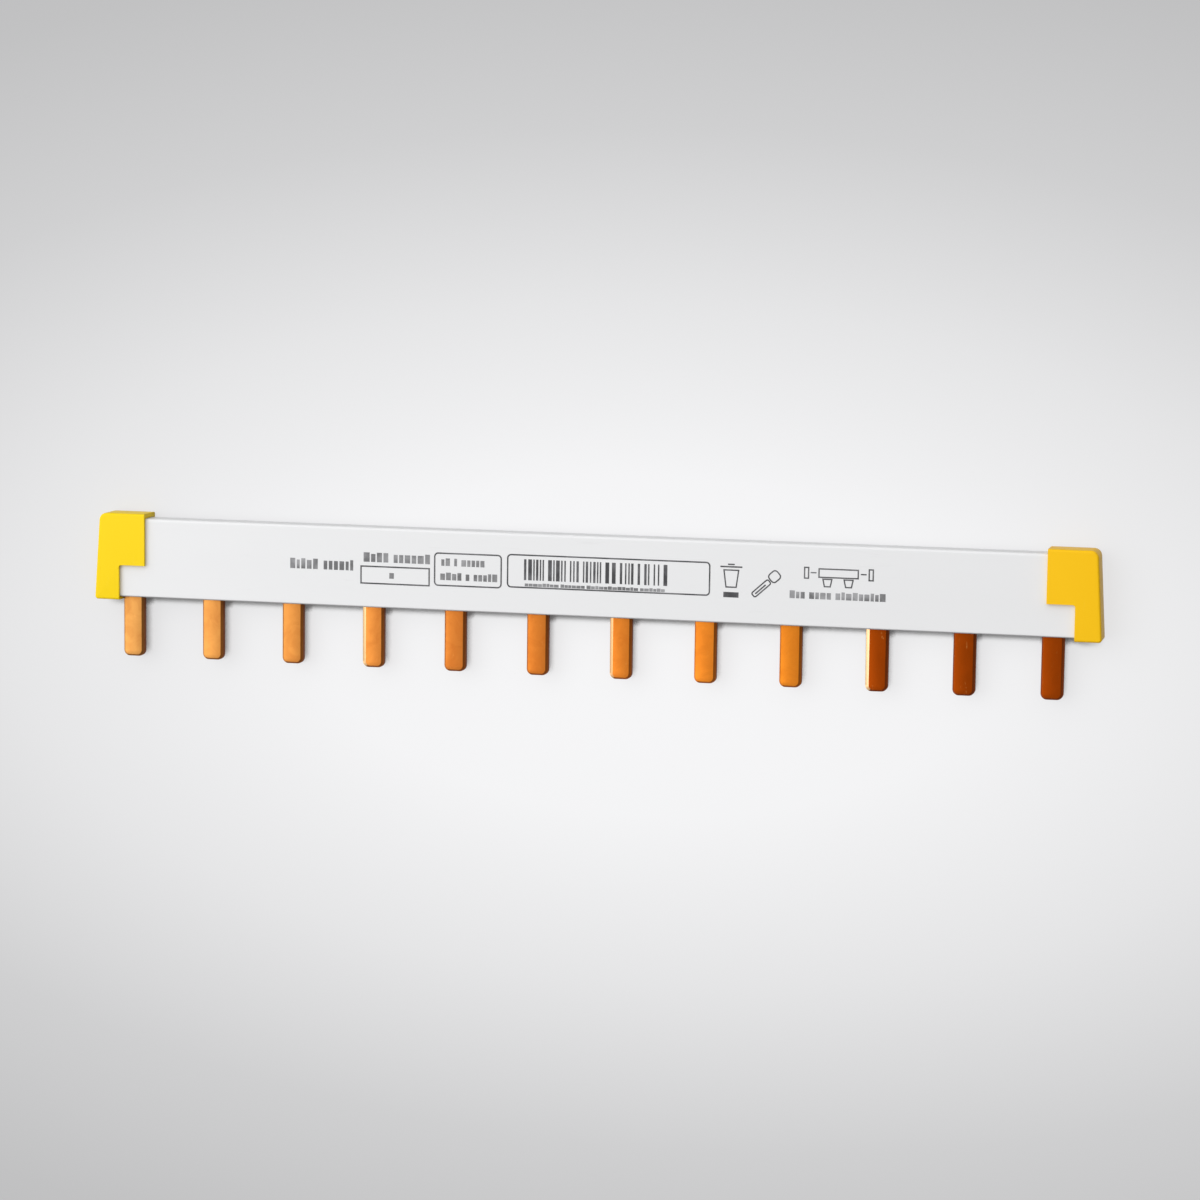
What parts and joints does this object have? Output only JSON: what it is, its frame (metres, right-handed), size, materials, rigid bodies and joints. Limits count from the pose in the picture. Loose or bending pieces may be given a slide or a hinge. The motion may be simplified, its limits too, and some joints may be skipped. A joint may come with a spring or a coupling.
{
  "type": "comb busbar",
  "caption": "Straight copper comb in a white insulating profile with a yellow stepped cap on each end; its row of teeth links the terminals of modular circuit breakers.",
  "frame": {"origin": "middle of the outline in X and Y, at the level of the surface that the bar lies on", "axes": "+X along the bar, towards the right end cap; +Y away from the teeth, so the teeth point to -Y; +Z out of the printed front face, which looks up"},
  "size_m": [0.216, 0.031, 0.0066],
  "materials": {
    "profile_plastic": "white extruded plastic, satin",
    "copper": "bare copper, stamped and coined, slightly tarnished",
    "cap_plastic": "yellow moulded plastic, satin"
  },
  "bodies": {
    "root": {"housing": "profile_plastic", "copper_comb": "copper", "left_end_cap": "cap_plastic", "right_end_cap": "cap_plastic"}
  },
  "joints": []
}
